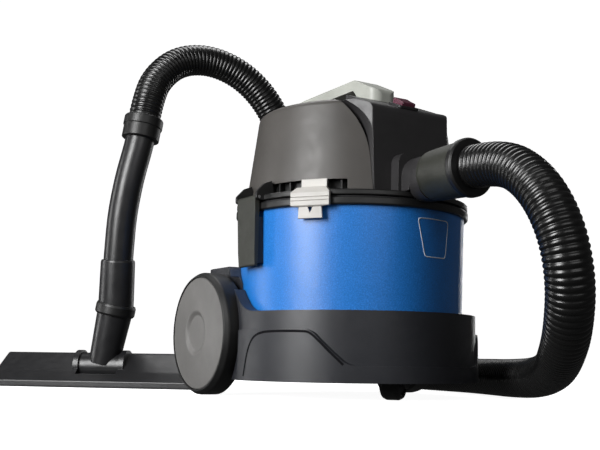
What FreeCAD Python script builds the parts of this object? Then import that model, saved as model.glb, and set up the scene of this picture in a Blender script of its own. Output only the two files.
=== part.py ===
import FreeCAD, Part
import math
import os
from types import SimpleNamespace
from FreeCAD import Placement, Rotation, Vector

# Wet and dry shop vacuum, in millimetres.
# Every piece is drawn in the machine's own frame: the tank's axis is the line x = y = 0, the floor is
# z = 0, the front of the machine is -Y and its right side is -X.  Each finished piece is then shifted by
# machine_x, machine_y, so that the row's origin lies under the middle of the machine and its floor tool.

DIMENSIONS = {
    # place of the machine in the row's frame
    "machine_x": 70.32,
    "machine_y": -141.84,
    # tank
    "tank_top_radius": 125.0,
    "tank_low_radius": 121.0,
    "tank_wall": 2.5,
    "tank_floor_z": 62.0,
    "tank_top_z": 193.0,
    "rim_radius": 129.5,
    "rim_top_z": 201.0,
    # base
    "base_radius": 136.0,
    "base_wall": 3.0,
    "base_low_z": 17.5,
    "base_front_z": 88.0,
    "base_rear_z": 141.0,
    "band_proud": 2.5,
    "tub_radius": 123.5,
    "pod_half_width": 117.0,
    "pod_rear_y": 150.0,
    # rear wheels
    "wheel_radius": 66.5,
    "wheel_y": 79.0,
    "wheel_inner_x": 121.0,
    "wheel_width": 29.0,
    "disc_radius": 61.0,
    "axle_radius": 5.0,
    "running_gap": 0.06,
    # front caster
    "caster_y": -82.0,
    "caster_radius": 24.0,
    "caster_half_width": 10.0,
    "caster_trail": 12.0,
    "caster_yaw": 38.0,
    "stem_radius": 5.0,
    # head
    "flange_radius": 129.0,
    "flange_low_z": 203.0,
    "head_low_z": 209.0,
    "head_low_radius": 118.5,
    "shoulder_radius": 105.5,
    "shoulder_z": 307.0,
    "crown_z": 320.0,
    "head_wall": 3.0,
    "fascia_half_width": 49.0,
    "fascia_front_y": -108.0,
    "fascia_rear_y": -58.0,
    # inlet
    "inlet_z": 223.5,
    "inlet_radius": 19.5,
    "boss_front_y": -120.0,
    "sleeve_front_y": -145.0,
    "elbow_y": -86.0,
    "elbow_radius": 19.3,
    "elbow_bore_radius": 16.5,
    "cuff_y": -146.0,
    # carry handle and switch
    "handle_half_width": 17.0,
    "handle_top_z": 351.5,
    "grip_floor_z": 306.0,
    "switch_y": -94.0,
    "switch_z": 305.38,
    "switch_tilt": 22.4,
    # latches and clips
    "latch_pin_x": 132.7,
    "latch_pin_z": 206.0,
    "latch_pin_radius": 1.5,
    "latch_half_width": 19.0,
    "latch_low_z": 134.0,
    "clip_angle": 53.2,
    # motor unit
    "deck_radius": 112.0,
    "intake_radius": 36.0,
    "shaft_radius": 4.0,
    # hose, wand and floor tool
    "hose_radius": 21.0,
    "hose_bore_radius": 18.0,
    "wand_radius": 19.0,
    "sleeve_radius": 22.0,
    "nozzle_yaw": -42.0,
    "nozzle_half_length": 138.0,
    "barrel_radius": 17.0,
    "barrel_z": 27.0,
    "tool_x": -168.0,
    "tool_y": 318.0,
}

doc = FreeCAD.newDocument("shop_vacuum")
sheet = doc.addObject("Spreadsheet::Sheet", "Dims")
for row, (alias, value) in enumerate(DIMENSIONS.items(), start=1):
    sheet.set(f"A{row}", alias)
    sheet.set(f"B{row}", str(value))
    sheet.setAlias(f"B{row}", alias)
doc.recompute()
D = SimpleNamespace(**{alias: float(sheet.get(alias)) for alias in DIMENSIONS})

X_AXIS, Y_AXIS, Z_AXIS = Vector(1, 0, 0), Vector(0, 1, 0), Vector(0, 0, 1)
UPRIGHT = Rotation()
TO_LEFT = Rotation(Y_AXIS, 90)         # local +Z becomes +X
TO_RIGHT = Rotation(Y_AXIS, -90)       # local +Z becomes -X
TO_FRONT = Rotation(X_AXIS, 90)        # local +Z becomes -Y
TO_REAR = Rotation(X_AXIS, -90)        # local +Z becomes +Y
SKETCH_TURNS = {"XY": UPRIGHT, "XZ": TO_FRONT, "YZ": Rotation(Vector(1, 1, 1), 120)}
TALL = 400.0                           # a length that passes every piece
NODES = []


# ---------------------------------------------------------------- drawing helpers

def rounded(points):
    """Closed outline through (u, v) or (u, v, radius) points; a radius rounds that corner with an arc."""
    corners = []
    count = len(points)
    for index, point in enumerate(points):
        here = Vector(point[0], point[1], 0)
        if len(point) == 2:
            corners.append((here, None, here))
            continue
        before = points[index - 1]
        after = points[(index + 1) % count]
        back = (Vector(before[0], before[1], 0) - here).normalize()
        ahead = (Vector(after[0], after[1], 0) - here).normalize()
        half = back.getAngle(ahead) / 2
        reach = point[2] / math.tan(half)
        middle = here + (back + ahead).normalize() * (point[2] / math.sin(half) - point[2])
        corners.append((here + back * reach, middle, here + ahead * reach))
    curves = []
    for index, (start, middle, end) in enumerate(corners):
        last = corners[index - 1][2]
        if last.distanceToPoint(start) > 1e-4:
            curves.append(Part.LineSegment(last, start))
        if middle is not None:
            curves.append(Part.Arc(start, middle, end))
    return curves


def prism(name, plane, points, low, high):
    """Extrude a closed outline drawn on XY, XZ or YZ between two places along that plane's normal axis."""
    sketch = doc.addObject("Sketcher::SketchObject", name + "_outline")
    for curve in rounded(points):
        sketch.addGeometry(curve, False)
    normal = {"XY": Z_AXIS, "XZ": Y_AXIS, "YZ": X_AXIS}[plane]
    sketch.Placement = Placement(normal * low, SKETCH_TURNS[plane])
    solid = doc.addObject("Part::Extrusion", name)
    solid.Base = sketch
    solid.DirMode = "Custom"
    solid.Dir = normal
    solid.LengthFwd = high - low
    solid.Solid = True
    return solid


def turned(name, points):
    """A body of revolution about its own Z axis, from an outline of (radius, height) points."""
    body = doc.addObject("PartDesign::Body", name)
    plane = next(item for item in body.Origin.OriginFeatures if item.Role == "XZ_Plane")
    sketch = body.newObject("Sketcher::SketchObject", name + "_profile")
    sketch.AttachmentSupport = [(plane, "")]
    sketch.MapMode = "FlatFace"
    for curve in rounded(points):
        sketch.addGeometry(curve, False)
    turn = body.newObject("PartDesign::Revolution", name + "_turn")
    turn.Profile = sketch
    turn.ReferenceAxis = (sketch, ["V_Axis"])
    turn.Angle = 360
    return body


def rod(name, radius, length, at=(0, 0, 0), turn=UPRIGHT):
    """A plain cylinder; radius and length are numbers or expressions on the sheet."""
    solid = doc.addObject("Part::Cylinder", name)
    for prop, value in (("Radius", radius), ("Height", length)):
        if isinstance(value, str):
            solid.setExpression(prop, value)
        else:
            setattr(solid, prop, value)
    solid.Placement = Placement(Vector(*at), turn)
    return solid


def block(name, low, high):
    """A box between two corners."""
    solid = doc.addObject("Part::Box", name)
    solid.Length, solid.Width, solid.Height = (high[i] - low[i] for i in range(3))
    solid.Placement = Placement(Vector(*low), UPRIGHT)
    return solid


def fuse(name, *shapes):
    solid = doc.addObject("Part::MultiFuse", name)
    solid.Shapes = list(shapes)
    return solid


def common(name, *shapes):
    solid = doc.addObject("Part::MultiCommon", name)
    solid.Shapes = list(shapes)
    return solid


def cut(name, base, *tools):
    solid = doc.addObject("Part::Cut", name)
    solid.Base = base
    solid.Tool = tools[0] if len(tools) == 1 else fuse(name + "_tools", *tools)
    return solid


def feature(name, shape):
    solid = doc.addObject("Part::Feature", name)
    solid.Shape = shape
    return solid


def node(solid, label, at=("0", "0", "0"), turn=UPRIGHT):
    """Name a finished piece and bind its place to the sheet."""
    solid.Label = label
    solid.Placement = Placement(Vector(), turn)
    solid.setExpression("Placement.Base.x", f"Dims.machine_x + ({at[0]})")
    solid.setExpression("Placement.Base.y", f"Dims.machine_y + ({at[1]})")
    solid.setExpression("Placement.Base.z", at[2])
    NODES.append(solid)
    return solid


def spot(point):
    """A worked-out point as the three expressions that node() takes."""
    return tuple(f"{value:.4f}" for value in point)


def turned_node(label, points, at=("0", "0", "0"), turn=UPRIGHT):
    return node(turned(label + "_body", points), label, at, turn)


def mirrored_x(points):
    return [(-point[0],) + tuple(point[1:]) for point in reversed(points)]


def about_z(angle):
    return Rotation(Z_AXIS, angle)


# ---------------------------------------------------------------- tank

def make_tank():
    low, top, wall = D.tank_floor_z, D.tank_top_z, D.tank_wall
    turned_node("tank", [
        (0, low), (D.tank_low_radius, low, 14), (D.tank_top_radius, top),
        (D.tank_top_radius - wall, top), (D.tank_low_radius - wall, low + wall, 11.5), (0, low + wall)])
    rim_in = D.tank_top_radius - 4
    turned_node("tank_rim", [
        (rim_in, top), (D.rim_radius - 1, top, 1), (D.rim_radius, top + 1.4, 1),
        (D.rim_radius, D.rim_top_z, 1.5), (rim_in, D.rim_top_z)])
    turned_node("lid_gasket", [
        (rim_in + 1, D.rim_top_z), (rim_in + 5, D.rim_top_z),
        (rim_in + 5, D.rim_top_z + 1.6, 0.7), (rim_in + 1, D.rim_top_z + 1.6, 0.7)])


# ---------------------------------------------------------------- base

def sweep_line(drop, rear, low):
    """Side view of the base: low in front, sweeping up beside the wheels to a high rear."""
    return [
        (-170, low), (-170, D.base_front_z - drop), (-4 - drop / 3, D.base_front_z - drop, 45),
        (60 - drop / 3, D.base_rear_z - drop, 30), (rear, D.base_rear_z - drop, 12), (rear, low)]


def pod_outline(inset):
    side, rear = D.pod_half_width - inset, D.pod_rear_y - inset
    return [(-side, -20), (side, -20), (side, rear, 44 - inset), (-side, rear, 44 - inset)]


def wheel_well(name, side, grow):
    inner = D.pod_half_width + 1.5 - grow
    start = inner if side > 0 else -inner
    return rod(name, D.wheel_radius + 4 + grow, 60, (start, D.wheel_y, D.wheel_radius),
               TO_LEFT if side > 0 else TO_RIGHT)


def make_base():
    low, wall, outer = D.base_low_z, D.base_wall, D.base_radius
    tub = D.tub_radius + wall
    skin = common(
        "skirt_skin",
        fuse("skirt_plan", rod("skirt_round", "Dims.base_radius", TALL, (0, 0, low)),
             prism("skirt_pods", "XY", pod_outline(0), low, TALL)),
        prism("skirt_side_view", "YZ", sweep_line(0, D.pod_rear_y, low), -TALL, TALL))
    band = common(
        "skirt_band",
        rod("band_round", "Dims.base_radius + Dims.band_proud", 60, (0, 0, low)),
        prism("band_side_view", "YZ", [
            (-170, low), (-170, 34), (-112, 34, 12), (-86, 69, 12), (6, 69), (6, low)], -TALL, TALL))
    inside = common(
        "skirt_inside",
        fuse("inside_plan", rod("inside_round", "Dims.base_radius - Dims.base_wall", TALL),
             prism("inside_pods", "XY", pod_outline(wall), 0, TALL)),
        prism("inside_side_view", "YZ", sweep_line(wall, D.pod_rear_y - wall, 0), -TALL, TALL))
    floor_plate = D.tank_floor_z - 4
    stem_boss = rod("caster_boss", 11, 8, (0, D.caster_y, floor_plate - 4.5))
    axle_bosses = [
        rod(f"axle_boss_{name}", 10, 18, (side * (D.pod_half_width + 1.5), D.wheel_y, D.wheel_radius),
            TO_RIGHT if side > 0 else TO_LEFT)
        for name, side in (("right", -1), ("left", 1))]
    hollow = cut(
        "skirt_hollow", inside,
        rod("tub_wall", tub, TALL, (0, 0, floor_plate)),
        wheel_well("well_jacket_right", -1, wall), wheel_well("well_jacket_left", 1, wall),
        stem_boss, *axle_bosses)
    screw_places = [(70, 55), (-70, 55), (70, -45), (-70, -45)]
    screw_holes = [rod(f"screw_hole_{i}", 2, 10, (x, y, floor_plate - 3))
                   for i, (x, y) in enumerate(screw_places)]
    skirt = cut(
        "base_skirt_solid", fuse("skirt_and_band", skin, band), hollow,
        rod("tank_pocket", "Dims.tub_radius", TALL, (0, 0, D.tank_floor_z)),
        wheel_well("well_right", -1, 0), wheel_well("well_left", 1, 0),
        rod("stem_bore", D.stem_radius + D.running_gap, 30, (0, D.caster_y, 40)),
        rod("axle_bore", "Dims.axle_radius", 2 * 119, (-119, D.wheel_y, D.wheel_radius), TO_LEFT),
        *screw_holes)
    # the axle bores stop short of the tub's wall
    plug = common("bore_plug", rod("bore_plug_rod", "Dims.axle_radius", 2 * 100.5,
                                   (-100.5, D.wheel_y, D.wheel_radius), TO_LEFT),
                  cut("tub_shell", rod("tub_outer", tub, 60, (0, 0, floor_plate)),
                      rod("tub_inner", "Dims.tub_radius", 60, (0, 0, D.tank_floor_z))))
    node(fuse("base_skirt_whole", skirt, plug), "base_skirt")

    screws = [cut(f"screw_{i}", turned_screw(f"screw_solid_{i}", x, y, floor_plate),
                  block(f"screw_slot_{i}", (x - 3, y - 0.5, floor_plate - 3),
                        (x + 3, y + 0.5, floor_plate - 1.6)))
              for i, (x, y) in enumerate(screw_places)]
    node(fuse("base_screw_group", *screws), "base_screws")


def turned_screw(name, x, y, seat):
    shank = rod(name + "_shank", 2, 3.9, (x, y, seat))
    head = rod(name + "_head", 4, 2.4, (x, y, seat - 2.4))
    return fuse(name, shank, head)


# ---------------------------------------------------------------- rear wheels

def make_wheels():
    depth, disc, bore = D.wheel_width, D.disc_radius, D.axle_radius + D.running_gap
    tyre_outline = [
        (52, 0), (D.wheel_radius - 5, 0, 3), (D.wheel_radius, 5, 3), (D.wheel_radius, depth - 5, 4),
        (D.wheel_radius - 3.5, depth, 1.5), (disc + 0.3, depth), (disc + 0.3, depth - 4), (52, depth - 4)]
    disc_outline = [
        (0, depth - 3), (bore, depth - 3), (bore, 2), (12, 2), (12, depth - 4), (48, depth - 4), (48, 6),
        (52, 6), (52, depth - 4), (disc, depth - 4), (disc, depth - 0.5, 1.5), (24, depth + 2.5, 4),
        (19.5, depth - 0.3, 3), (0, depth - 0.3)]
    for name, side in (("right", -1), ("left", 1)):
        outward = TO_RIGHT if side < 0 else TO_LEFT
        place = (f"{side} * Dims.wheel_inner_x", "Dims.wheel_y", "Dims.wheel_radius")
        turned_node(f"wheel_{name}_tyre", tyre_outline, place, outward)
        turned_node(f"wheel_{name}_disc", disc_outline, place, outward)
        axle = rod(f"axle_{name}_rod", "Dims.axle_radius", 44)
        node(axle, f"axle_{name}", (f"{side} * (Dims.wheel_inner_x - 19.5)", "Dims.wheel_y",
                                    "Dims.wheel_radius"), outward)


# ---------------------------------------------------------------- front caster

def make_caster():
    radius, half, trail = D.caster_radius, D.caster_half_width, D.caster_trail
    plate_low = radius * 2 + 2
    cheek = [
        (14, plate_low + 3), (14, plate_low - 4, 6), (2, radius - 9, 8), (-trail, radius - 13, 9),
        (-trail - 13, radius - 6, 9), (-trail - 13, radius + 8, 9), (-15, plate_low + 3)]
    gap = half + 1.2
    cheeks = [prism("fork_cheek_near", "XZ", cheek, -gap - 3, -gap),
              prism("fork_cheek_far", "XZ", cheek, gap, gap + 3)]
    crown = prism("fork_crown", "XY", [(-15, -gap - 3, 4), (14, -gap - 3, 5), (14, gap + 3, 5),
                                       (-15, gap + 3, 4)], plate_low, plate_low + 3)
    stem = rod("fork_stem", "Dims.stem_radius", 10.4, (0, 0, plate_low + 1))
    hole = rod("fork_axle_hole", 3, 60, (-trail, 30, radius), TO_FRONT)
    place = ("0", "Dims.caster_y", "0")
    yaw = about_z(D.caster_yaw)
    node(cut("fork_solid", fuse("fork_whole", crown, stem, *cheeks), hole), "caster_fork", place, yaw)

    pivot = Vector(0, D.caster_y, 0)
    pin = rod("caster_axle_rod", 3, 2 * (gap + 3))
    node(pin, "caster_axle", spot(pivot + yaw.multVec(Vector(-trail, gap + 3, radius))), yaw * TO_FRONT)
    turned_node("caster_wheel", [
        (3 + D.running_gap, -half), (8, -half), (9, -half + 1.5), (radius - 7, -half + 1.5),
        (radius - 5, -half, 1), (radius - 2, -half, 1.5), (radius, -half + 4, 2), (radius, half - 4, 2),
        (radius - 2, half, 1.5), (radius - 5, half, 1), (radius - 7, half - 1.5), (9, half - 1.5),
        (8, half), (3 + D.running_gap, half)],
        spot(pivot + yaw.multVec(Vector(-trail, 0, radius))), yaw * TO_FRONT)


# ---------------------------------------------------------------- head shell

def dome_outline(inset):
    """Half section of the head's round shell; inset moves it inwards by the wall."""
    low = D.head_low_z - (5 if inset else 0)
    foot, shoulder = D.head_low_radius - inset, D.shoulder_radius - inset
    return [(0, low), (foot, low), (foot, D.head_low_z + 3),
            (shoulder, D.shoulder_z - inset, max(7 - inset, 2)), (60, D.crown_z - 2 - inset, 60),
            (0, D.crown_z - inset)]


def fascia_side(inset):
    """Side view of the front fascia: an upright face and a top that slopes back to the crown."""
    low = D.head_low_z - (5 if inset else 0)
    rear = D.fascia_rear_y + (5 if inset else 0)
    front, drop = D.fascia_front_y + inset, inset * 1.1
    return [(front, low), (front + 1, 300 - inset, 9 - inset), (-61, 319 - drop, 15), (rear, 319.8 - drop),
            (rear, low)]


def flare(name, side, bend_z, radius):
    """Front view of the fascia's sides: upright, then curving outwards into a pair of ears."""
    low, reach = D.head_low_z, 60
    return prism(name, "XZ", [
        (-side, low), (side, low), (side, bend_z, radius), (side + reach, bend_z + reach),
        (-side - reach, bend_z + reach), (-side, bend_z, radius)], -170, -50)


def splayed(name, side, front, rear, corner):
    """Plan of the fascia: a straight front, and sides that open out behind it."""
    outer = side + (rear - D.fascia_front_y) * math.tan(math.radians(30))
    return prism(name, "XY", [
        (-side, front, corner), (side, front, corner), (side, D.fascia_front_y + corner), (outer, rear),
        (-outer, rear), (-side, D.fascia_front_y + corner)], D.head_low_z, 345)


def fascia_opening():
    """The opening in the round shell, wider than the fascia around its ears."""
    side, rear = D.fascia_half_width + 0.2, D.fascia_rear_y + 0.6
    ears = common("opening_ears", flare("opening_front", side, 285.2, 97),
                  splayed("opening_plan", side + 6.8, -170, rear, 0.1))
    middle = block("opening_middle", (-side, -170, D.head_low_z - 1), (side, rear, 345))
    return fuse("fascia_opening", middle, ears)


def grip_outline(grow):
    """Side view of the hand recess under the carry handle."""
    floor = D.grip_floor_z - grow
    return [(-14 - grow * 1.7, 345), (-2 - grow, floor, 10), (80 + grow, floor, 12), (92 + grow * 1.7, 345)]


def make_head():
    wall = D.head_wall
    recess_half = 29
    recess = prism("grip_recess", "YZ", grip_outline(0), -recess_half, recess_half)
    recess_skin = prism("grip_recess_skin", "YZ", grip_outline(wall), -recess_half - wall, recess_half + wall)
    windows = [prism(f"window_{name}", "XY", sector(side, 37, 86), D.head_low_z - 1, 221)
               for name, side in (("right", -1), ("left", 1))]
    gland_hole = rod("gland_hole", 8, 40, (-30, 90, 240), TO_REAR)
    void = cut("dome_void", turned("dome_inner", dome_outline(wall)), recess_skin)
    node(cut("head_shell_solid", turned("dome_outer", dome_outline(0)), void, recess, fascia_opening(),
             gland_hole, *windows), "head_shell")

    half, rear = D.fascia_half_width, D.fascia_rear_y
    plan = prism("fascia_plan", "XY", [
        (-half, D.fascia_front_y, 4), (half, D.fascia_front_y, 4), (77.9, rear), (-77.9, rear)],
        D.head_low_z, 345)
    ears = common("fascia_ears", flare("fascia_front", half, 291.1, 63),
                  block("ear_room", (-100, -170, D.head_low_z), (100, rear, D.shoulder_z)))
    middle = block("fascia_middle", (-half, -170, D.head_low_z), (half, rear, 345))
    outer = common("fascia_outer", plan, prism("fascia_side_view", "YZ", fascia_side(0), -120, 120),
                   fuse("fascia_front_view", middle, ears))
    ledge = common("fascia_ledge", flare("ledge_front", half + 8, 285.2, 97),
                   turned("ledge_limit", dome_outline(8)),
                   block("ledge_room", (-100, -120, 245), (100, rear + 6, 345)))
    core = prism("fascia_void", "YZ", fascia_side(2.5), -half + 3, half - 3)
    rear_core = block("ledge_void", (-half + 3, rear, 240), (half - 3, rear + 10, 345))
    inlet_hole = rod("fascia_inlet_hole", "Dims.inlet_radius", 60, (0, -80, D.inlet_z), TO_FRONT)
    switch_turn = Rotation(X_AXIS, D.switch_tilt)
    switch_hole = block("switch_hole", (-9, -10, -14), (9, 10, 10))
    switch_hole.Placement = Placement(
        Vector(0, D.switch_y, D.switch_z) + switch_turn.multVec(Vector(-9, -10, -14)), switch_turn)
    node(cut("fascia_solid", fuse("fascia_whole", outer, ledge), core, rear_core, inlet_hole, switch_hole),
         "front_fascia")

    boss = cut("boss_block", prism("boss_front_view", "XZ", [
        (-27, D.head_low_z), (27, D.head_low_z), (26, 250, 12), (-26, 250, 12)], D.boss_front_y, -100),
        prism("boss_back", "YZ", fascia_side(0), -60, 60))
    side, top, low = 22.5, 246, 199
    upper = prism("sleeve_over_flange", "XZ", [
        (-side, D.head_low_z + 0.05), (side, D.head_low_z + 0.05), (side, top, 22.4), (-side, top, 22.4)],
        -132, D.boss_front_y + 0.1)
    front = prism("sleeve_front", "XZ", [
        (-side, low, 19), (side, low, 19), (side, top, 22.4), (-side, top, 22.4)], D.sleeve_front_y, -130.5)
    boss_bore = rod("boss_bore", "Dims.inlet_radius", 60, (0, -90, D.inlet_z), TO_FRONT)
    node(cut("boss_solid", fuse("boss_whole", boss, upper, front), boss_bore), "inlet_boss")


def sector(side, start, end):
    """A wedge from the tank's axis between two angles counted from the front towards one side."""
    reach = 150
    rays = [math.radians(angle) for angle in (start, (start + end) / 2, end)]
    return [(0, 0)] + [(side * size * math.sin(ray), -size * math.cos(ray))
                       for ray, size in zip(rays, (reach, reach * 1.2, reach))]


def make_flange():
    ring = turned("flange_ring", [
        (D.deck_radius, D.flange_low_z), (D.flange_radius, D.flange_low_z, 1.2),
        (D.flange_radius, D.head_low_z, 1.8), (D.deck_radius, D.head_low_z)])
    lug = [(112, 203), (131, 203, 3), (135.8, 204, 2.5), (135.8, 211, 4.5), (126, 221, 8), (118, 224)]
    lugs, pin_holes = [], []
    for name, side in (("right", -1), ("left", 1)):
        outline = lug if side > 0 else mirrored_x(lug)
        for end, near in (("front", -D.latch_half_width - 4.4), ("rear", D.latch_half_width + 0.4)):
            lugs.append(prism(f"lug_{name}_{end}", "XZ", outline, near, near + 4))
        pin_holes.append(rod(f"latch_pin_hole_{name}", "Dims.latch_pin_radius", 60,
                             (side * D.latch_pin_x, 30, D.latch_pin_z), TO_FRONT))
    room = turned("flange_room", [(0, D.head_low_z), (D.head_low_radius, D.head_low_z),
                                  (D.head_low_radius, D.head_low_z + 3), (D.shoulder_radius, D.shoulder_z),
                                  (0, D.shoulder_z)])
    bore = rod("flange_bore", "Dims.deck_radius", 30, (0, 0, 190))
    channel = rod("flange_inlet_channel", "Dims.inlet_radius", 60, (0, D.elbow_y, D.inlet_z), TO_FRONT)
    node(cut("flange_solid", fuse("flange_and_lugs", ring, *lugs), room, bore, channel, *pin_holes),
         "head_flange")

    node(cut("deck_solid", rod("deck_disc", "Dims.deck_radius", 4, (0, 0, D.head_low_z - 4)),
             rod("deck_elbow_hole", "Dims.elbow_radius", 20, (0, D.elbow_y, 200)),
             rod("deck_inlet_channel", "Dims.inlet_radius", 60, (0, D.elbow_y, D.inlet_z), TO_FRONT),
             rod("deck_intake", "Dims.intake_radius", 20, (0, 0, 200))),
         "motor_deck")

    for name, side in (("right", -1), ("left", 1)):
        back = cut(f"vent_back_{name}", rod(f"vent_ring_{name}", 107, 14, (0, 0, D.head_low_z)),
                   rod(f"vent_room_{name}", 105, 14, (0, 0, D.head_low_z)))
        ribs = []
        for index in range(7):
            angle = 40 + index * 7.2
            rib = block(f"vent_rib_{name}_{index}", (0, 0, 0), (8, 1.6, 12.5))
            turn = about_z(-90 + side * angle)
            rib.Placement = Placement(turn.multVec(Vector(106.5, -0.8, 0)) + Vector(0, 0, 209), turn)
            ribs.append(rib)
        wedge = prism(f"vent_sector_{name}", "XY", sector(side, 34, 89), D.head_low_z, 225)
        node(common(f"vent_grille_{name}_solid", fuse(f"vent_whole_{name}", back, *ribs), wedge),
             f"vent_grille_{name}")


# ---------------------------------------------------------------- motor unit, filter and float

def make_motor():
    bore = D.shaft_radius + D.running_gap
    turned_node("fan_housing", [
        (D.intake_radius + 2, 209), (62, 209, 3), (62, 238, 4), (20, 238), (20, 235.5), (59.5, 235.5, 2),
        (59.5, 211.5, 1), (D.intake_radius + 2, 211.5)])
    turned_node("fan_wheel", [(D.shaft_radius, 214), (56, 214), (56, 215.5), (30, 224), (30, 231),
                              (D.shaft_radius, 231)])
    turned_node("motor_can", [(20, 238), (46, 238), (46, 292, 5), (9, 292), (9, 289.5), (43.5, 289.5, 3),
                              (43.5, 240.5), (20, 240.5)])
    turned_node("motor_stator", [(31, 252), (43.5, 252), (43.5, 280), (31, 280)])
    turned_node("motor_armature", [(D.shaft_radius, 252), (29.5, 252), (29.5, 280), (D.shaft_radius, 280)])
    turned_node("motor_shaft", [(0, 212.5), (D.shaft_radius, 212.5), (D.shaft_radius, 296), (0, 296)])
    turned_node("bearing_low", [(bore, 235.5), (20, 235.5), (20, 240.5), (bore, 240.5)])
    turned_node("bearing_high", [(bore, 287.5), (9, 287.5), (9, 292), (bore, 292)])
    turned_node("filter_top_ring", [(37, 199), (58, 199), (58, 205), (37, 205)])
    turned_node("filter_end_cap", [(0, 110), (58, 110, 2), (58, 116), (0, 116)])
    pleats = 40
    low, high = 116.0, 199.0
    corners = []
    for index in range(pleats):
        for share, radius in ((0.0, 55.0), (0.5, 45.0)):
            angle = 2 * math.pi * (index + share) / pleats
            corners.append((radius * math.cos(angle), radius * math.sin(angle)))
    node(cut("filter_solid", prism("filter_pleats", "XY", corners, low, high),
             rod("filter_bore", 40, TALL, (0, 0, 0))), "filter_element")
    cage = turned("float_cage_turned", [
        (0, 116), (27, 116), (27, 205), (21, 205), (21, 201), (14, 201), (14, 198), (25, 198), (25, 118),
        (0, 118)])
    slots = (block("cage_slot_across", (-30, -6, 126), (30, 6, 190)),
             block("cage_slot_along", (-6, -30, 126), (6, 30, 190)))
    node(cut("float_cage_solid", cage, *slots), "float_cage")
    ball = doc.addObject("Part::Sphere", "float_sphere")
    ball.Radius = 17
    node(ball, "float_ball", ("0", "0", "135.3"))


def elbow_space(name, radius, front, low):
    """The room taken by a quarter bend of the given radius, from the inlet's mouth down into the tank."""
    corner = doc.addObject("Part::Sphere", name + "_corner")
    corner.Radius = radius
    corner.Placement = Placement(Vector(0, D.elbow_y, D.inlet_z), UPRIGHT)
    level = rod(name + "_level", radius, D.elbow_y - front, (0, D.elbow_y, D.inlet_z), TO_FRONT)
    return fuse(name, corner, level, rod(name + "_drop", radius, D.inlet_z - low, (0, D.elbow_y, low)))


def make_inlet():
    node(cut("elbow_solid", elbow_space("elbow_outer", D.elbow_radius, -110.5, 190),
             elbow_space("elbow_inner", D.elbow_bore_radius, -112, 188)), "inlet_elbow")
    turned_node("cord_gland", [(3.5, 0), (8, 0), (8, 9.5), (11, 9.5), (11, 13, 1), (6.5, 24, 1), (3.5, 24)],
                ("-30", "104.5", "240"), TO_REAR)


# ---------------------------------------------------------------- handle, switch, latches, clips

def make_handle():
    top, half, front = D.handle_top_z, D.handle_half_width, -64
    side = prism("handle_side", "YZ", [
        (front, 296), (front, 331, 6), (-22, top, 24), (92, top - 1, 12), (100, 300), (84, 300), (80, 337, 9),
        (-26, 337, 5), (-38, 322, 4), (-40, 296)], -half, half)
    front_view = prism("handle_front_view", "XZ", [
        (-half, 290), (half, 290), (half, top, 7), (-half, top, 7)], -100, 120)
    plan = prism("handle_plan", "XY", [
        (-half, front, 12), (half, front, 12), (half, 110, 8), (-half, 110, 8)], 290, top + 1)
    crown = cut("handle_crown", turned("handle_seat", dome_outline(0)),
                block("crown_front", (-80, -170, 290), (80, D.fascia_rear_y, 345)))
    slope = prism("handle_slope", "YZ", fascia_side(0), -60, 60)
    node(cut("handle_solid", common("handle_bar", side, front_view, plan), crown, slope), "carry_handle")


def make_switch():
    turn = Rotation(X_AXIS, D.switch_tilt)
    place = ("0", "Dims.switch_y", "Dims.switch_z")
    ring = cut("bezel_ring", prism("bezel_plate", "XY", [
        (-13, -11.4, 3), (13, -11.4, 3), (13, 11.4, 3), (-13, 11.4, 3)], 0.02, 2.6),
        prism("bezel_room", "XY", [(-8.9, -9.9), (8.9, -9.9), (8.9, 9.9), (-8.9, 9.9)], -1, 4))
    node(ring, "switch_bezel", place, turn)
    rocker = prism("rocker_side", "YZ", [
        (-9, -3), (-9, 6.5, 1.5), (0, 7.5, 20), (9, 9, 1.5), (9, -3), (0, -6)], -8.3, 8.3)
    pivot = rod("rocker_pivot", 1.5, 2 * 8.7, (-8.7, 0, 0), TO_LEFT)
    node(fuse("rocker_solid", rocker, pivot), "switch_rocker", place, turn)


def latch_outline():
    """End view of the right latch: a plate that hangs from its pin, clear of the tank's rim."""
    low, inner, head = D.latch_low_z, -129.9, D.latch_pin_z + 2.8
    return [(inner, low + 1, 1), (-133.4, low, 2), (-134.4, low + 16, 12), (-135.5, head, 2.8),
            (inner, head, 2.6)]


def make_latches():
    half = D.latch_half_width
    tank_wall = turned("latch_tank_wall", [
        (0, D.tank_floor_z), (D.tank_low_radius + 0.05, D.tank_floor_z),
        (D.tank_top_radius + 0.05, D.tank_top_z), (0, D.tank_top_z)])
    for name, side in (("right", -1), ("left", 1)):
        outline = latch_outline() if side < 0 else mirrored_x(latch_outline())
        side_view = prism(f"latch_side_{name}", "XZ", outline, -half, half)
        face_view = prism(f"latch_face_{name}", "YZ", [
            (-half + 2, D.latch_low_z - 2, 5), (half - 2, D.latch_low_z - 2, 5), (half, 190),
            (half, D.latch_pin_z + 3), (-half, D.latch_pin_z + 3), (-half, 190)], -150, 150)
        bore = rod(f"latch_bore_{name}", "Dims.latch_pin_radius + Dims.running_gap", 60,
                   (side * D.latch_pin_x, 30, D.latch_pin_z), TO_FRONT)
        node(cut(f"latch_solid_{name}", common(f"latch_block_{name}", side_view, face_view), bore),
             f"latch_{name}")
        pin = rod(f"latch_pin_{name}_rod", "Dims.latch_pin_radius", 2 * (half + 4.4))
        node(pin, f"latch_pin_{name}", (f"{side} * Dims.latch_pin_x", "Dims.latch_half_width + 4.4",
                                        "Dims.latch_pin_z"), TO_FRONT)
        near, far = sorted((side * 118, side * 129.6))
        seat = block(f"latch_seat_{name}_block", (near, -16, 138), (far, 16, 186))
        node(cut(f"latch_seat_{name}_solid", seat, tank_wall), f"latch_seat_{name}")


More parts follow.
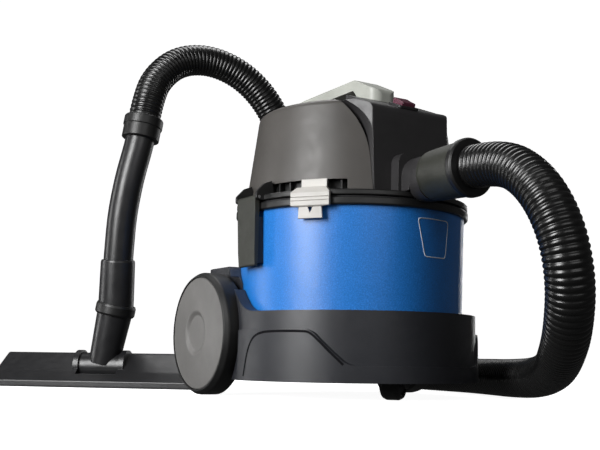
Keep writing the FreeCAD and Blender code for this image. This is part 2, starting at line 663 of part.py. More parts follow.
def make_clips():
    """Light side clips, drawn facing +X and turned to their places, one in front and one behind."""
    side = [(129.9, 179), (132.4, 179, 0.8), (132.8, 190.5), (134.4, 192, 1), (134.4, 196.4), (133.7, 196.9),
            (134.4, 197.4), (134.4, 199.9), (133.7, 200.4), (134.4, 200.9), (134.4, 205, 1.5), (129.8, 210.9),
            (121.5, 212.6, 1), (121.5, 221, 1), (118.8, 221), (118.8, 209.1), (129.1, 209.1), (129.1, 203.4),
            (129.9, 202.6)]
    half_face = [(13, 178, 2), (12, 190.8), (20.5, 191.6, 1), (20.5, 206, 1), (15, 211.5), (13.6, 213),
                 (13.6, 222)]
    for name, angle in (("right", -90 - D.clip_angle), ("left", 90 - D.clip_angle)):
        body = common(f"clip_body_{name}", prism(f"clip_side_{name}", "XZ", side, -25, 25),
                      prism(f"clip_face_{name}", "YZ", half_face + mirrored_x(half_face), 110, 140))
        notch = prism(f"clip_notch_{name}", "YZ", [(-2.8, 190.6), (0, 184.5), (2.8, 190.6)], 110, 140)
        node(cut(f"clip_solid_{name}", body, notch), f"side_clip_{name}", turn=about_z(angle))


# ---------------------------------------------------------------- hose, wand and floor tool

HOSE_ROUTE = [
    (0, -201, 223.5), (0, -240, 223.5), (-5, -284, 199), (-4, -311, 158), (4, -315, 110), (24, -292, 68),
    (60, -250, 46), (100, -204, 33), (132, -152, 24), (154, -94, 22), (178, -34, 22), (200, 30, 22),
    (210, 98, 22), (202, 166, 23), (178, 228, 38), (146, 268, 80), (124, 280, 136), (110, 280, 198),
    (98, 276, 256), (86, 271, 306), (70, 268, 350), (42, 268, 399), (4, 274, 434), (-44, 282, 450),
    (-90, 286, 441), (-123, 283, 409), (-137, 275, 374), (-141, 275, 350)]
WAND_ROUTE = [(-141, 275, 350), (-147, 275, 314), (-156, 281, 270), (-161, 289, 222), (-161, 297, 160),
              (-159, 303, 112)]


def arc_path(points):
    """Straight runs joined by tangent arcs, each as large as its two runs allow; also the arcs' radii."""
    spots = [Vector(*point) for point in points]
    edges, radii = [], []
    last = spots[0]
    for before, here, after in zip(spots, spots[1:], spots[2:]):
        back, ahead = (before - here), (after - here)
        reach = 0.45 * min(back.Length, ahead.Length)
        back.normalize()
        ahead.normalize()
        half_turn = (math.pi - back.getAngle(ahead)) / 2
        radius = reach / math.tan(half_turn)
        start, end = here + back * reach, here + ahead * reach
        middle = here + (back + ahead).normalize() * (radius / math.cos(half_turn) - radius)
        edges.append(Part.LineSegment(last, start).toShape())
        edges.append(Part.Arc(start, middle, end).toShape())
        radii.append(radius)
        last = end
    edges.append(Part.LineSegment(last, spots[-1]).toShape())
    return Part.Wire(edges), radii


def tube(path, radius):
    """A round bar swept along a path."""
    start = path.Edges[0].firstVertex().Point
    ahead = path.Edges[0].tangentAt(path.Edges[0].FirstParameter)
    section = Part.Wire(Part.makeCircle(radius, start, ahead))
    return path.makePipeShell([section], True, False)


def make_hose():
    path, radii = arc_path(HOSE_ROUTE)
    solid = tube(path, D.hose_radius).cut(tube(path, D.hose_bore_radius))
    expected = math.pi * (D.hose_radius ** 2 - D.hose_bore_radius ** 2) * path.Length
    print("hose radii mm:", " ".join(f"{radius:.0f}" for radius in radii))
    print(f"hose length {path.Length:.0f} mm, volume over section times length {solid.Volume / expected:.4f}")
    node(feature("hose_solid", solid), "suction_hose")

    front = ("0", "Dims.cuff_y", "Dims.inlet_z")
    turned_node("hose_cuff", [
        (16.5, -35), (19.2, -35), (19.2, -0.8), (24.9, -0.8, 1), (25.8, 4, 2), (27.3, 44), (27.3, 47),
        (18, 47), (16.5, 30)], front, TO_FRONT)
    turned_node("cuff_collar", [(18, 47), (28.3, 47), (29, 48.5, 1), (29, 53, 1.5), (27.5, 55), (18, 55)],
                front, TO_FRONT)

    end = Vector(*HOSE_ROUTE[-1])
    lean = Rotation(Z_AXIS, Vector(*WAND_ROUTE[1]) - end)
    turned_node("hose_end_collar", [
        (15.5, 0), (24.6, 0), (25.6, 1.5, 1), (25.6, 12), (24.4, 13), (24.4, 29, 1), (D.wand_radius, 30),
        (D.wand_radius, 1.5), (15.5, 1.5)], spot(end), lean)


def make_wand():
    lead = Vector(*WAND_ROUTE[1]) - Vector(*WAND_ROUTE[0])
    start = Vector(*WAND_ROUTE[0]) + lead.normalize() * 1.5
    route = [tuple(start)] + WAND_ROUTE[1:]
    path, radii = arc_path(route)
    print("wand radii mm:", " ".join(f"{radius:.0f}" for radius in radii))
    wand = tube(path, D.wand_radius).cut(tube(path, D.wand_radius - 2.5))
    node(feature("wand_solid", wand), "curved_wand")

    low = Vector(*WAND_ROUTE[-1])
    down = (low - Vector(*WAND_ROUTE[-2])).normalize()
    turn = Rotation(Z_AXIS, down)
    top = low - down * 52
    turned_node("wand_sleeve", [
        (D.wand_radius, 0), (D.sleeve_radius - 1, 0, 1), (D.sleeve_radius, 3), (D.sleeve_radius + 0.6, 50),
        (D.sleeve_radius + 0.6, 62), (16.5, 62), (16.5, 52), (D.wand_radius, 52)],
        spot(top), turn)
    return low + down * 10


def tool_plan(inset):
    """Plan of the floor tool, a little shorter at the rear than at the front."""
    front, rear = D.nozzle_half_length - inset, D.nozzle_half_length - 6 - inset
    return [(-front, -38, 4), (front, -38, 4), (rear, 36, 12), (-rear, 36, 12)]


def make_floor_tool(sleeve_end):
    length, radius = D.nozzle_half_length, D.barrel_radius
    turn = about_z(D.nozzle_yaw)
    place = ("Dims.tool_x", "Dims.tool_y", "0")
    # drawn with its length along X and its front along -Y
    section = [(-34, 2), (-34, 8, 2), (-22, 20, 30), (8, 44, 8), (22, 43, 6), (30, 26, 10), (32, 2)]
    inner = [(-31, -1), (-31, 7, 1), (-21, 17, 28), (8, 40.5, 6), (20, 39.5, 4), (27, 24, 8), (29, -1)]
    shell = common("tool_block", prism("tool_section", "YZ", section, -length, length),
                   prism("tool_block_plan", "XY", tool_plan(0), 0, 60))
    void = common("tool_void", prism("tool_void_section", "YZ", inner, -length, length),
                  prism("tool_void_plan", "XY", tool_plan(5), -1, 60))
    saddle = rod("tool_saddle", radius + 0.4, 61, (-30.5, 2, D.barrel_z), TO_LEFT)
    slot = block("tool_neck_slot", (-27, -60, 17), (27, 60, 60))
    hump = common("hump_block", rod("hump_outer", radius + 3.4, 68, (-34, 2, D.barrel_z), TO_LEFT),
                  block("hump_room", (-40, -40, 8), (40, 26, 60)))
    node(cut("tool_solid", fuse("tool_whole", cut("tool_skin", shell, void), hump), saddle, slot),
         "nozzle_body", place, turn)
    strips = fuse("tool_strips", block("strip_front", (-length + 6, -33.8, 0), (length - 6, -31.2, 2)),
                  block("strip_rear", (-length + 9, 29.2, 0), (length - 9, 31.8, 2)))
    node(strips, "nozzle_strips", place, turn)

    barrel_middle = Vector(D.tool_x, D.tool_y, 0) + turn.multVec(Vector(0, 2, D.barrel_z))
    lean = (barrel_middle - sleeve_end).normalize()
    neck_turn = Rotation(Z_AXIS, lean)
    collar_top = sleeve_end - lean * 5
    turned_node("swivel_collar", [
        (22.9, 0), (24.4, 0, 1), (25.6, 3, 1), (25.6, 12, 1), (24, 14.5, 1), (16, 14.5), (16, 9), (22.9, 9)],
        spot(collar_top), neck_turn)
    neck_top = collar_top + lean * 14.8
    run = (barrel_middle - neck_top).Length
    barrel = rod("neck_barrel", radius, 60, tuple(barrel_middle + turn.multVec(Vector(-30, 0, 0))),
                 turn * TO_LEFT)
    pipe = doc.addObject("Part::Cone", "neck_pipe")
    pipe.Radius1, pipe.Radius2, pipe.Height = 22.4, 19.5, run - 4
    pipe.Placement = Placement(neck_top, neck_turn)
    bore = rod("neck_bore", 15.5, run - 14, tuple(neck_top - lean * 0.5), neck_turn)
    node(cut("neck_solid", fuse("neck_whole", barrel, pipe), bore), "nozzle_neck")


make_tank()
make_base()
make_wheels()
make_caster()
make_head()
make_flange()
make_motor()
make_inlet()
make_handle()
make_switch()
make_latches()
make_clips()
make_hose()
make_floor_tool(make_wand())

doc.recompute()
for item in doc.Objects:
    if "Invalid" in item.State or "Error" in item.State:
        raise RuntimeError(f"{item.Name} failed: {item.State}")
os.makedirs("parts", exist_ok=True)
CORD = {"suction_hose", "hose_cuff", "cuff_collar", "hose_end_collar"}
bounds = FreeCAD.BoundBox()
for solid in NODES:
    if solid.Shape.isNull() or not solid.Shape.isValid():
        raise RuntimeError(f"{solid.Label} has no valid shape")
    if solid.Label not in CORD:
        bounds.add(solid.Shape.optimalBoundingBox(False))
    solid.Shape.exportStep(f"parts/{solid.Label}.step")
print(f"{len(NODES)} pieces; box centre {bounds.Center.x:.2f} {bounds.Center.y:.2f}, "
      f"size {bounds.XLength:.1f} {bounds.YLength:.1f} {bounds.ZLength:.1f}, low {bounds.ZMin:.2f}")
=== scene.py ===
import math

import bmesh
import bpy
from mathutils import Matrix, Vector


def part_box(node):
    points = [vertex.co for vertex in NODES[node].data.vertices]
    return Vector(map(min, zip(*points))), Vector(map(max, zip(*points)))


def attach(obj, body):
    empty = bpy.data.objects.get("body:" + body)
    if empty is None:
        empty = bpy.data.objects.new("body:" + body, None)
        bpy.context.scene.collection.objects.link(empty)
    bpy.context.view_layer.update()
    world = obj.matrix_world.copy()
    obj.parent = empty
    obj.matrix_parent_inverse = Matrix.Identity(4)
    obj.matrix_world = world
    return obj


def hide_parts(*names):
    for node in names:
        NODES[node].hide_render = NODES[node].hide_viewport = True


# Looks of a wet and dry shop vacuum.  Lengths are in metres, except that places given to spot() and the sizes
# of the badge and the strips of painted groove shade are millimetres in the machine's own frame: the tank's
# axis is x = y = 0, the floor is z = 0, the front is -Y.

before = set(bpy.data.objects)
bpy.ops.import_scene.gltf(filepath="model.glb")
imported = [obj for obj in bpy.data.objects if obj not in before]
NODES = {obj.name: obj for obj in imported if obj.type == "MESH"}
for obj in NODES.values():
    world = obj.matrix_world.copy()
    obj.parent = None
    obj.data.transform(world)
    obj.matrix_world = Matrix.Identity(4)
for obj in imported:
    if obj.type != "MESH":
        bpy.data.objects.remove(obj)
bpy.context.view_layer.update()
MM = 0.001


def middle_of(node):
    low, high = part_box(node)
    return (low + high) / 2


AXIS = middle_of("tank")


def spot(x, y, z):
    return Vector((AXIS.x + x * MM, AXIS.y + y * MM, z * MM))


# ---------------------------------------------------------------- camera

CAMERA_SPOT = (-605.1, -864.2, 42.0)
CAMERA_HEADING = 31.85     # degrees to the right of +Y
CAMERA_PITCH = 7.96        # degrees above level
CAMERA_ROLL = 0.8
CAMERA_LENS = 56.64        # millimetres, on a 36 mm sensor


def make_camera():
    data = bpy.data.cameras.new("camera")
    data.lens = CAMERA_LENS
    data.sensor_width = 36.0
    data.clip_start = 0.02
    camera = bpy.data.objects.new("camera", data)
    bpy.context.scene.collection.objects.link(camera)
    camera.matrix_world = (
        Matrix.Translation(spot(*CAMERA_SPOT))
        @ Matrix.Rotation(math.radians(-CAMERA_HEADING), 4, "Z")
        @ Matrix.Rotation(math.radians(90 + CAMERA_PITCH), 4, "X")
        @ Matrix.Rotation(math.radians(CAMERA_ROLL), 4, "Z"))
    bpy.context.scene.camera = camera


make_camera()


# ---------------------------------------------------------------- materials

class Shader:
    """A Principled material that is put together node by node."""

    def __init__(self, name, colour, roughness, **constants):
        self.material = bpy.data.materials.new(name)
        self.material.use_nodes = True
        self.tree = self.material.node_tree
        self.surface = self.tree.nodes["Principled BSDF"]
        self.surface.inputs["Base Color"].default_value = (*colour, 1)
        self.surface.inputs["Roughness"].default_value = roughness
        for socket, value in constants.items():
            self.surface.inputs[socket.replace("_", " ")].default_value = value
        self.place = self.add("ShaderNodeTexCoord").outputs["Object"]
        self.normal = None

    def add(self, kind, **settings):
        node = self.tree.nodes.new(kind)
        for name, value in settings.items():
            setattr(node, name, value)
        return node

    def join(self, source, target):
        self.tree.links.new(source, target)

    def noise(self, size, detail=2.0, stretch=None, roughness=0.5):
        """Noise whose features are about size metres across."""
        node = self.add("ShaderNodeTexNoise")
        node.inputs["Scale"].default_value = 1 / size
        node.inputs["Detail"].default_value = detail
        node.inputs["Roughness"].default_value = roughness
        if stretch is None:
            self.join(self.place, node.inputs["Vector"])
        else:
            scale = self.add("ShaderNodeMapping")
            scale.inputs["Scale"].default_value = stretch
            self.join(self.place, scale.inputs["Vector"])
            self.join(scale.outputs["Vector"], node.inputs["Vector"])
        return node.outputs["Fac"]

    def ramp(self, source, stops):
        """A colour ramp through (position, colour) stops."""
        node = self.add("ShaderNodeValToRGB")
        elements = node.color_ramp.elements
        while len(elements) < len(stops):
            elements.new(0.5)
        for element, (position, colour) in zip(elements, stops):
            element.position = position
            element.color = (*colour, 1)
        self.join(source, node.inputs["Fac"])
        return node.outputs["Color"]

    def span(self, source, low, high, out_low, out_high):
        """The source's stretch from low to high, carried over to another one."""
        node = self.add("ShaderNodeMapRange")
        for name, value in (("From Min", low), ("From Max", high), ("To Min", out_low), ("To Max", out_high)):
            node.inputs[name].default_value = value
        self.join(source, node.inputs["Value"])
        return node.outputs["Result"]

    def soften(self, radius):
        """Rounds the highlights along sharp edges."""
        node = self.add("ShaderNodeBevel", samples=4)
        node.inputs["Radius"].default_value = radius
        self.normal = node.outputs["Normal"]

    def bump(self, height, distance):
        """Raises the surface by up to a distance in metres where the height is 1."""
        node = self.add("ShaderNodeBump")
        node.inputs["Strength"].default_value = 1.0
        node.inputs["Distance"].default_value = distance
        self.join(height, node.inputs["Height"])
        if self.normal is not None:
            self.join(self.normal, node.inputs["Normal"])
        self.normal = node.outputs["Normal"]

    def done(self):
        if self.normal is not None:
            self.join(self.normal, self.surface.inputs["Normal"])
        return self.material


def tint(colour, factor):
    return tuple(channel * factor for channel in colour)


def moulded(name, colour, roughness, grain=0.0006, depth=0.00005, edge=0.0006, mottle=0.12, **constants):
    """Moulded plastic: a fine spark-eroded grain, slight cloudiness and handling marks in its gloss."""
    shader = Shader(name, colour, roughness, **constants)
    clouds = shader.noise(0.045, 3.0)
    shader.join(shader.ramp(clouds, [(0.3, tint(colour, 1 - mottle)), (0.7, tint(colour, 1 + mottle))]),
                shader.surface.inputs["Base Color"])
    marks = shader.noise(0.012, 4.0, roughness=0.7)
    shader.join(shader.span(marks, 0.3, 0.7, roughness - 0.05, roughness + 0.06),
                shader.surface.inputs["Roughness"])
    if edge:
        shader.soften(edge)
    shader.bump(shader.noise(grain, 2.0), depth)
    return shader.done()


def tank_blue():
    """Satin blue drum plastic with a speckle in both its colour and its surface."""
    colour = (0.008, 0.15, 0.50)
    light = (0.02, 0.19, 0.62)
    shader = Shader("tank_blue", colour, 0.36, Specular_IOR_Level=0.55)
    speckle = shader.noise(0.0011, 3.0, roughness=0.65)
    shader.join(shader.ramp(speckle, [(0.36, tint(colour, 0.78)), (0.52, colour), (0.66, light)]),
                shader.surface.inputs["Base Color"])
    shader.join(shader.span(speckle, 0.3, 0.7, 0.30, 0.44), shader.surface.inputs["Roughness"])
    shader.bump(shader.noise(0.0009, 2.0), 0.00012)
    shader.bump(shader.noise(0.035, 2.0), 0.0004)
    return shader.done()


def brushed(name, colour, roughness, stretch):
    """Turned or drawn steel, with fine lines along one direction."""
    shader = Shader(name, colour, roughness, Metallic=1.0)
    lines = shader.noise(0.0004, 3.0, stretch=stretch)
    shader.join(shader.ramp(lines, [(0.3, tint(colour, 0.82)), (0.7, tint(colour, 1.1))]),
                shader.surface.inputs["Base Color"])
    shader.join(shader.span(lines, 0.3, 0.7, roughness - 0.08, roughness + 0.1),
                shader.surface.inputs["Roughness"])
    shader.bump(lines, 0.00002)
    return shader.done()


def rubbery(name, colour, roughness):
    """Rubber: matte, with a dusty bloom and a faint skin."""
    shader = Shader(name, colour, roughness, Specular_IOR_Level=0.35)
    dust = shader.noise(0.02, 5.0, roughness=0.7)
    shader.join(shader.ramp(dust, [(0.35, colour), (0.75, tint(colour, 1.9))]),
                shader.surface.inputs["Base Color"])
    shader.soften(0.0005)
    shader.bump(shader.noise(0.0008, 3.0), 0.00006)
    return shader.done()


def paper():
    """Pleated filter paper with its fibres."""
    colour = (0.72, 0.67, 0.55)
    shader = Shader("filter_paper", colour, 0.9)
    fibres = shader.noise(0.0006, 5.0, stretch=(1, 1, 0.25))
    shader.join(shader.ramp(fibres, [(0.3, tint(colour, 0.85)), (0.7, tint(colour, 1.08))]),
                shader.surface.inputs["Base Color"])
    shader.bump(fibres, 0.0001)
    return shader.done()


def make_materials():
    return {
        "tank_blue": tank_blue(),
        "base_charcoal": moulded("base_charcoal", (0.016, 0.017, 0.021), 0.42, 0.0008, 0.00008),
        "head_grey": moulded("head_grey", (0.050, 0.046, 0.042), 0.48, 0.0008, 0.00008),
        "fascia_dark": moulded("fascia_dark", (0.021, 0.020, 0.021), 0.45, 0.0008, 0.00006),
        "black_plastic": moulded("black_plastic", (0.006, 0.006, 0.006), 0.4),
        "wand_black": moulded("wand_black", (0.011, 0.011, 0.012), 0.34, 0.0005, 0.00003, 0.0004),
        "tyre_black": rubbery("tyre_black", (0.006, 0.006, 0.006), 0.5),
        "disc_grey": moulded("disc_grey", (0.115, 0.112, 0.108), 0.45, 0.0006, 0.00004),
        "handle_grey": moulded("handle_grey", (0.36, 0.37, 0.335), 0.45, 0.0007, 0.00004),
        "clip_grey": moulded("clip_grey", (0.42, 0.405, 0.38), 0.45, 0.0006, 0.00004, 0.0004),
        "latch_olive": moulded("latch_olive", (0.018, 0.019, 0.014), 0.5, 0.0006, 0.00005),
        "switch_maroon": moulded("switch_maroon", (0.085, 0.018, 0.036), 0.22, 0.0006, 0.00001, 0.0005),
        "hose_black": moulded("hose_black", (0.005, 0.005, 0.005), 0.27, 0.0009, 0.0, 0.0),
        "steel": brushed("steel", (0.55, 0.55, 0.56), 0.32, (1, 1, 0.05)),
        "lamination": brushed("lamination", (0.36, 0.33, 0.31), 0.5, (0.05, 0.05, 1)),
        "filter_paper": paper(),
        "seal_rubber": rubbery("seal_rubber", (0.015, 0.015, 0.016), 0.7),
        # painted shade: a near-black, nearly matte colour for the strips that stand in for the shadow in the
        # grooves round the base's panels
        "painted_groove_shade": moulded("painted_groove_shade", (0.003, 0.003, 0.004), 0.8, edge=0.0, Specular_IOR_Level=0.1),
        "badge_line": moulded("badge_line", (0.55, 0.58, 0.62), 0.5, edge=0.0),
        "float_white": moulded("float_white", (0.70, 0.69, 0.64), 0.35),
    }


MATERIALS = make_materials()
NODE_MATERIALS = {
    "tank": "tank_blue", "tank_rim": "black_plastic", "lid_gasket": "seal_rubber",
    "base_skirt": "base_charcoal", "base_screws": "steel", "axle_right": "steel", "axle_left": "steel",
    "wheel_right_tyre": "tyre_black", "wheel_left_tyre": "tyre_black", "wheel_right_disc": "disc_grey",
    "wheel_left_disc": "disc_grey", "caster_fork": "black_plastic", "caster_axle": "steel",
    "caster_wheel": "tyre_black", "head_shell": "head_grey", "front_fascia": "fascia_dark",
    "inlet_boss": "fascia_dark", "head_flange": "black_plastic", "motor_deck": "black_plastic",
    "vent_grille_right": "black_plastic", "vent_grille_left": "black_plastic", "fan_housing": "black_plastic",
    "fan_wheel": "steel", "motor_can": "steel", "motor_stator": "lamination", "motor_armature": "lamination",
    "motor_shaft": "steel", "bearing_low": "steel", "bearing_high": "steel", "filter_top_ring": "seal_rubber",
    "filter_end_cap": "black_plastic", "filter_element": "filter_paper", "float_cage": "black_plastic",
    "float_ball": "float_white", "inlet_elbow": "black_plastic", "cord_gland": "seal_rubber",
    "carry_handle": "handle_grey", "switch_bezel": "fascia_dark", "switch_rocker": "switch_maroon",
    "latch_right": "latch_olive", "latch_left": "latch_olive", "latch_pin_right": "steel",
    "latch_pin_left": "steel", "latch_seat_right": "black_plastic", "latch_seat_left": "black_plastic",
    "side_clip_right": "clip_grey", "side_clip_left": "clip_grey",
    "hose_cuff": "latch_olive", "cuff_collar": "black_plastic", "hose_end_collar": "black_plastic",
    "curved_wand": "wand_black", "wand_sleeve": "wand_black", "swivel_collar": "black_plastic",
    "nozzle_neck": "wand_black", "nozzle_body": "wand_black", "nozzle_strips": "seal_rubber",
}


def paint(piece, name):
    piece.data.materials.clear()
    piece.data.materials.append(MATERIALS[name])


for node_name, material_name in NODE_MATERIALS.items():
    paint(NODES[node_name], material_name)


# ---------------------------------------------------------------- meshes

def finished(name, mesh, smooth=True):
    """Turns a bmesh into a linked object."""
    bmesh.ops.recalc_face_normals(mesh, faces=mesh.faces)
    data = bpy.data.meshes.new(name)
    mesh.to_mesh(data)
    mesh.free()
    for face in data.polygons:
        face.use_smooth = smooth
    piece = bpy.data.objects.new(name, data)
    bpy.context.scene.collection.objects.link(piece)
    return piece


def bridge(mesh, rings):
    """Joins each closed ring of vertices to the next with quads."""
    for ring, following in zip(rings, rings[1:]):
        for index in range(len(ring)):
            after = (index + 1) % len(ring)
            mesh.faces.new((ring[index], ring[after], following[after], following[index]))


# ---------------------------------------------------------------- suction hose

HOSE_ROUTE = [
    (0, -201, 223.5), (0, -240, 223.5), (-5, -284, 199), (-4, -311, 158), (4, -315, 110), (24, -292, 68),
    (60, -250, 46), (100, -204, 33), (132, -152, 24), (154, -94, 22), (178, -34, 22), (200, 30, 22),
    (210, 98, 22), (202, 166, 23), (178, 228, 38), (146, 268, 80), (124, 280, 136), (110, 280, 198),
    (98, 276, 256), (86, 271, 306), (70, 268, 350), (42, 268, 399), (4, 274, 434), (-44, 282, 450),
    (-90, 286, 441), (-123, 283, 409), (-137, 275, 374), (-141, 275, 350)]
HOSE_RADIUS = 0.021
HOSE_SIDES = 44
RIB_PITCH = 0.0056
RIB_DEPTH = 0.0019
RIB_STEPS = 8          # rings of vertices along each rib
RIB_FULLNESS = 0.55    # below 1 the ribs are broad and the grooves between them narrow
PATH_STEP = 0.006      # between the points of the path that goes with the hose
CURVE_STEPS = 24       # points on each span of the smooth line


def smooth_line(name, route):
    """Points along the open NURBS spline whose control points are the route's."""
    curve = bpy.data.curves.new(name, "CURVE")
    curve.dimensions = "3D"
    curve.resolution_u = CURVE_STEPS
    spline = curve.splines.new("NURBS")
    spline.points.add(len(route) - 1)
    for control, point in zip(spline.points, route):
        control.co = (*spot(*point), 1)
    spline.order_u = 3
    spline.use_endpoint_u = True
    holder = bpy.data.objects.new(name, curve)
    mesh = bpy.data.meshes.new_from_object(holder)
    line = [vertex.co.copy() for vertex in mesh.vertices]
    bpy.data.objects.remove(holder)
    bpy.data.meshes.remove(mesh)
    return line


def evenly(line, step):
    """The same line with evenly placed points, about a step apart, and its length."""
    lengths = [0.0]
    for before, after in zip(line, line[1:]):
        lengths.append(lengths[-1] + (after - before).length)
    total = lengths[-1]
    count = max(2, round(total / step))
    points, index = [], 0
    for number in range(count + 1):
        goal = total * number / count
        while index < len(lengths) - 2 and lengths[index + 1] < goal:
            index += 1
        share = (goal - lengths[index]) / (lengths[index + 1] - lengths[index])
        points.append(line[index].lerp(line[index + 1], share))
    return points, total


def sweep(name, points, radii, sides):
    """A closed tube mesh through points, one radius each."""
    mesh = bmesh.new()
    ahead = (points[1] - points[0]).normalized()
    across = ahead.orthogonal().normalized()
    rings = []
    for index, (point, radius) in enumerate(zip(points, radii)):
        before = points[max(index - 1, 0)]
        after = points[min(index + 1, len(points) - 1)]
        direction = (after - before).normalized()
        across = (across - direction * across.dot(direction)).normalized()
        other = direction.cross(across)
        ring = []
        for side in range(sides):
            angle = 2 * math.pi * side / sides
            ring.append(mesh.verts.new(point + (across * math.cos(angle) + other * math.sin(angle)) * radius))
        rings.append(ring)
    bridge(mesh, rings)
    mesh.faces.new(list(reversed(rings[0])))
    mesh.faces.new(rings[-1])
    return finished(name, mesh)


def make_hose():
    """The ribbed hose from the cuff to the wand's collar."""
    line = smooth_line("hose_line", HOSE_ROUTE)
    points, total = evenly(line, RIB_PITCH / RIB_STEPS)
    ribs = round(total / RIB_PITCH)
    radii = []
    for index in range(len(points)):
        phase = ribs * index / (len(points) - 1)
        swell = abs(math.sin(math.pi * phase)) ** RIB_FULLNESS
        radii.append(HOSE_RADIUS - RIB_DEPTH * (1 - swell))
    hose = sweep("ribbed_hose", points, radii, HOSE_SIDES)
    paint(hose, "hose_black")
    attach(hose, "head")
    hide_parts("suction_hose")
    path, _ = evenly(line, PATH_STEP)


make_hose()


# ---------------------------------------------------------------- badge outline

TANK_FOOT_HEIGHT = 62.0
TANK_FOOT_RADIUS = 121.0
TANK_WALL_HEIGHT = 131.0
TANK_FLARE = 4.0           # how much the radius grows up the wall
TANK_DEGREE = 2.17         # millimetres that one degree spans round the tank

# each corner is (degrees round the tank, height)
BADGE_CORNERS = [(-92.7, 184.0), (-88.1, 144.0), (-73.2, 144.0), (-71.1, 184.0)]
BADGE_HALF_WIDTH = 10.8    # degrees
BADGE_HALF_HEIGHT = 20.0
BADGE_ROUNDING = 0.12      # share of each side that its rounded corner takes
BADGE_LONGEST_SIDE = 1.0   # so that the outline follows the tank's curve
BADGE_LINE = 1.0
BADGE_PROUD = 0.25
BADGE_SUNK = -0.3


def on_tank(angle, height, proud):
    """A place on the tank's outer wall, proud of it by so many millimetres."""
    radius = TANK_FOOT_RADIUS + TANK_FLARE * (height - TANK_FOOT_HEIGHT) / TANK_WALL_HEIGHT + proud
    turn = math.radians(angle)
    return spot(radius * math.cos(turn), radius * math.sin(turn), height)


def rounded_loop(corners, share, steps=6):
    """A closed outline whose corners are rounded over a share of their sides."""
    loop = []
    for index, corner in enumerate(corners):
        here, before, after = (Vector(point) for point in (
            corner, corners[index - 1], corners[(index + 1) % len(corners)]))
        start, end = here.lerp(before, share), here.lerp(after, share)
        for step in range(steps + 1):
            part = step / steps
            loop.append(start.lerp(here, part).lerp(here.lerp(end, part), part))
    return loop


def split_sides(loop, longest):
    """The same outline with no side longer than so many units."""
    fine = []
    for index, here in enumerate(loop):
        after = loop[(index + 1) % len(loop)]
        count = math.ceil((after - here).length / longest)
        fine.extend(here.lerp(after, step / count) for step in range(count))
    return fine


def make_badge():
    """A thin light outline on the tank, with nothing inside it."""
    loop = split_sides(rounded_loop(BADGE_CORNERS, BADGE_ROUNDING), BADGE_LONGEST_SIDE)
    middle = sum(loop, Vector((0, 0))) / len(loop)
    mesh = bmesh.new()
    rings = []
    section = ((0, BADGE_SUNK), (0, BADGE_PROUD), (BADGE_LINE, BADGE_PROUD), (BADGE_LINE, BADGE_SUNK))
    for inset, proud in section:
        rings.append([])
        for point in loop:
            offset = point - middle
            x = offset.x * (1 - inset / (BADGE_HALF_WIDTH * TANK_DEGREE))
            y = offset.y * (1 - inset / BADGE_HALF_HEIGHT)
            rings[-1].append(mesh.verts.new(on_tank(middle.x + x, middle.y + y, proud)))
    bridge(mesh, rings + rings[:1])
    badge = finished("badge_outline", mesh)
    paint(badge, "badge_line")
    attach(badge, "base")


make_badge()


# ---------------------------------------------------------------- painted shade in the grooves round the base's raised panels

# each point is (degrees round the base, height), on the machine's right side
PANEL_LINE = [
    (-177.2, 22.0), (-175.2, 41.0), (-173.3, 53.0), (-170.5, 61.5), (-166.0, 66.0), (-159.0, 67.3),
    (-144.0, 67.3), (-141.6, 65.6), (-138.8, 60.0), (-134.6, 50.0), (-130.1, 40.0), (-127.9, 35.0)]
PANEL_RADIUS = 138.5       # the face of the raised band round the base
PANEL_ROUNDS = 3           # how often the line's corners are cut
# size of each strip of painted groove shade, in millimetres: width, how far it sinks into the band and how
# far it stands proud
GROOVE_SHADE_WIDTH = 2.4
GROOVE_SHADE_SUNK = 0.4
GROOVE_SHADE_PROUD = 0.06


def eased(line, rounds):
    """An open line with its corners cut, again and again."""
    for _ in range(rounds):
        cuts = [line[0]]
        for here, after in zip(line, line[1:]):
            cuts.extend((here.lerp(after, 0.25), here.lerp(after, 0.75)))
        line = cuts + [line[-1]]
    return line


def make_panel_shade_lines():
    """Near-black strips of painted shade along each panel's edge, where the groove there lies in shadow."""
    degree = math.radians(1) * PANEL_RADIUS
    line = eased([Vector((angle * degree, height)) for angle, height in PANEL_LINE], PANEL_ROUNDS)
    foot, face = PANEL_RADIUS - GROOVE_SHADE_SUNK, PANEL_RADIUS + GROOVE_SHADE_PROUD
    for side, mirror in (("right", 1), ("left", -1)):
        mesh = bmesh.new()
        rows = []
        for index, here in enumerate(line):
            ahead = (line[min(index + 1, len(line) - 1)] - line[max(index - 1, 0)]).normalized()
            across = Vector((-ahead.y, ahead.x)) * GROOVE_SHADE_WIDTH / 2
            row = []
            for place, radius in ((here - across, foot), (here - across, face),
                                  (here + across, face), (here + across, foot)):
                turn = math.radians(place.x / degree)
                x = radius * math.cos(turn) * mirror
                row.append(mesh.verts.new(spot(x, radius * math.sin(turn), place.y)))
            rows.append(row)
        bridge(mesh, rows)
        mesh.faces.new(rows[0])
        mesh.faces.new(rows[-1])
        # a near-black strip that paints the groove's shade onto the band
        shade_strip = finished(f"painted_panel_shade_{side}", mesh, smooth=False)
        paint(shade_strip, "painted_groove_shade")
        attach(shade_strip, "base")


make_panel_shade_lines()


# ---------------------------------------------------------------- stage and light

FLOOR_REACH = 3.2          # metres of level floor on every side
BACKDROP_BEND = 1.2
BACKDROP_TOP = 4.0
BACKDROP_STEPS = 12
BACKDROP_SIDES = 72
WORLD_STRENGTH = 0.06
LIGHT_AIM = (0, 0, 180)

# name, place as the camera sees the machine (right, towards the back, up), size in metres, watts
STUDIO_LIGHTS = [
    ("key_left", (-1.0, -0.95, 0.42), (0.55, 0.9), 30),
    ("edge_left", (-1.4, 0.25, 0.1), (0.2, 0.9), 4),
    ("overhead", (-0.2, 0.5, 1.3), (1.0, 0.5), 9),
    ("rim_right", (0.85, 1.6, 0.3), (0.12, 1.1), 4),
    ("front_fill", (0.5, -1.5, 0.5), (1.0, 0.7), 4),
]


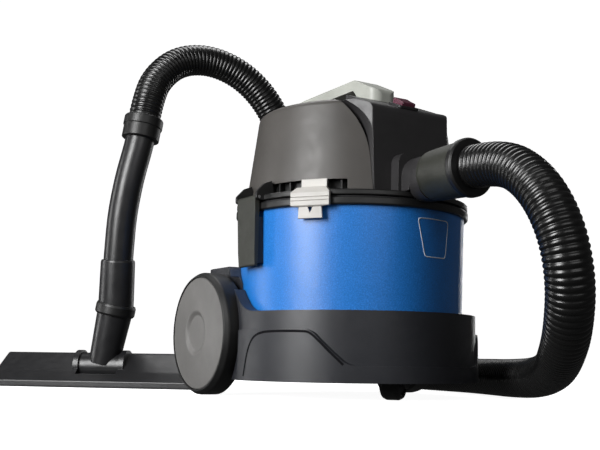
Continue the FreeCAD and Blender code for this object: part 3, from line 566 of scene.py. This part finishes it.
def make_stage():
    """A pale floor that curves up into a backdrop on every side."""
    shader = Shader("floor_pale", (0.8, 0.8, 0.8), 0.8, Specular_IOR_Level=0.1, Emission_Strength=0.95)
    shade = shader.noise(0.5, 2.0)
    shader.join(shader.ramp(shade, [(0.3, (0.78, 0.78, 0.78)), (0.7, (0.82, 0.82, 0.82))]),
                shader.surface.inputs["Base Color"])
    shader.surface.inputs["Emission Color"].default_value = (1, 1, 1, 1)
    mesh = bmesh.new()
    profile = [(FLOOR_REACH, 0.0)]
    for step in range(1, BACKDROP_STEPS + 1):
        angle = math.pi / 2 * step / BACKDROP_STEPS
        rise = BACKDROP_BEND - BACKDROP_BEND * math.cos(angle)
        profile.append((FLOOR_REACH + BACKDROP_BEND * math.sin(angle), rise))
    profile.append((FLOOR_REACH + BACKDROP_BEND, BACKDROP_TOP))
    rings = []
    for radius, height in profile:
        ring = []
        for side in range(BACKDROP_SIDES):
            angle = 2 * math.pi * side / BACKDROP_SIDES
            place = Vector((radius * math.cos(angle), radius * math.sin(angle), height))
            ring.append(mesh.verts.new(spot(0, 0, 0) + place))
        rings.append(ring)
    mesh.faces.new(rings[0])
    bridge(mesh, rings)
    floor = finished("floor_and_backdrop", mesh)
    floor.data.materials.append(shader.done())
    floor.visible_diffuse = False
    floor.visible_glossy = False


def area_light(name, place, aim, size, power):
    data = bpy.data.lights.new(name, "AREA")
    data.shape = "RECTANGLE"
    data.size, data.size_y = size
    data.energy = power
    light = bpy.data.objects.new(name, data)
    bpy.context.scene.collection.objects.link(light)
    light.location = place
    light.rotation_euler = (aim - place).to_track_quat("-Z", "Y").to_euler()


def make_lights():
    """Soft studio light from all round, and a little from the world."""
    heading = math.radians(CAMERA_HEADING)
    right = Vector((math.cos(heading), -math.sin(heading), 0))
    back = Vector((math.sin(heading), math.cos(heading), 0))
    target = spot(*LIGHT_AIM)
    for name, place, size, power in STUDIO_LIGHTS:
        where = target + right * place[0] + back * place[1] + Vector((0, 0, place[2]))
        area_light(name, where, target, size, power)

    world = bpy.data.worlds.new("studio")
    bpy.context.scene.world = world
    world.use_nodes = True
    background = world.node_tree.nodes["Background"]
    background.inputs["Color"].default_value = (1, 1, 1, 1)
    background.inputs["Strength"].default_value = WORLD_STRENGTH


make_stage()
make_lights()
bpy.context.scene.view_settings.view_transform = "Standard"
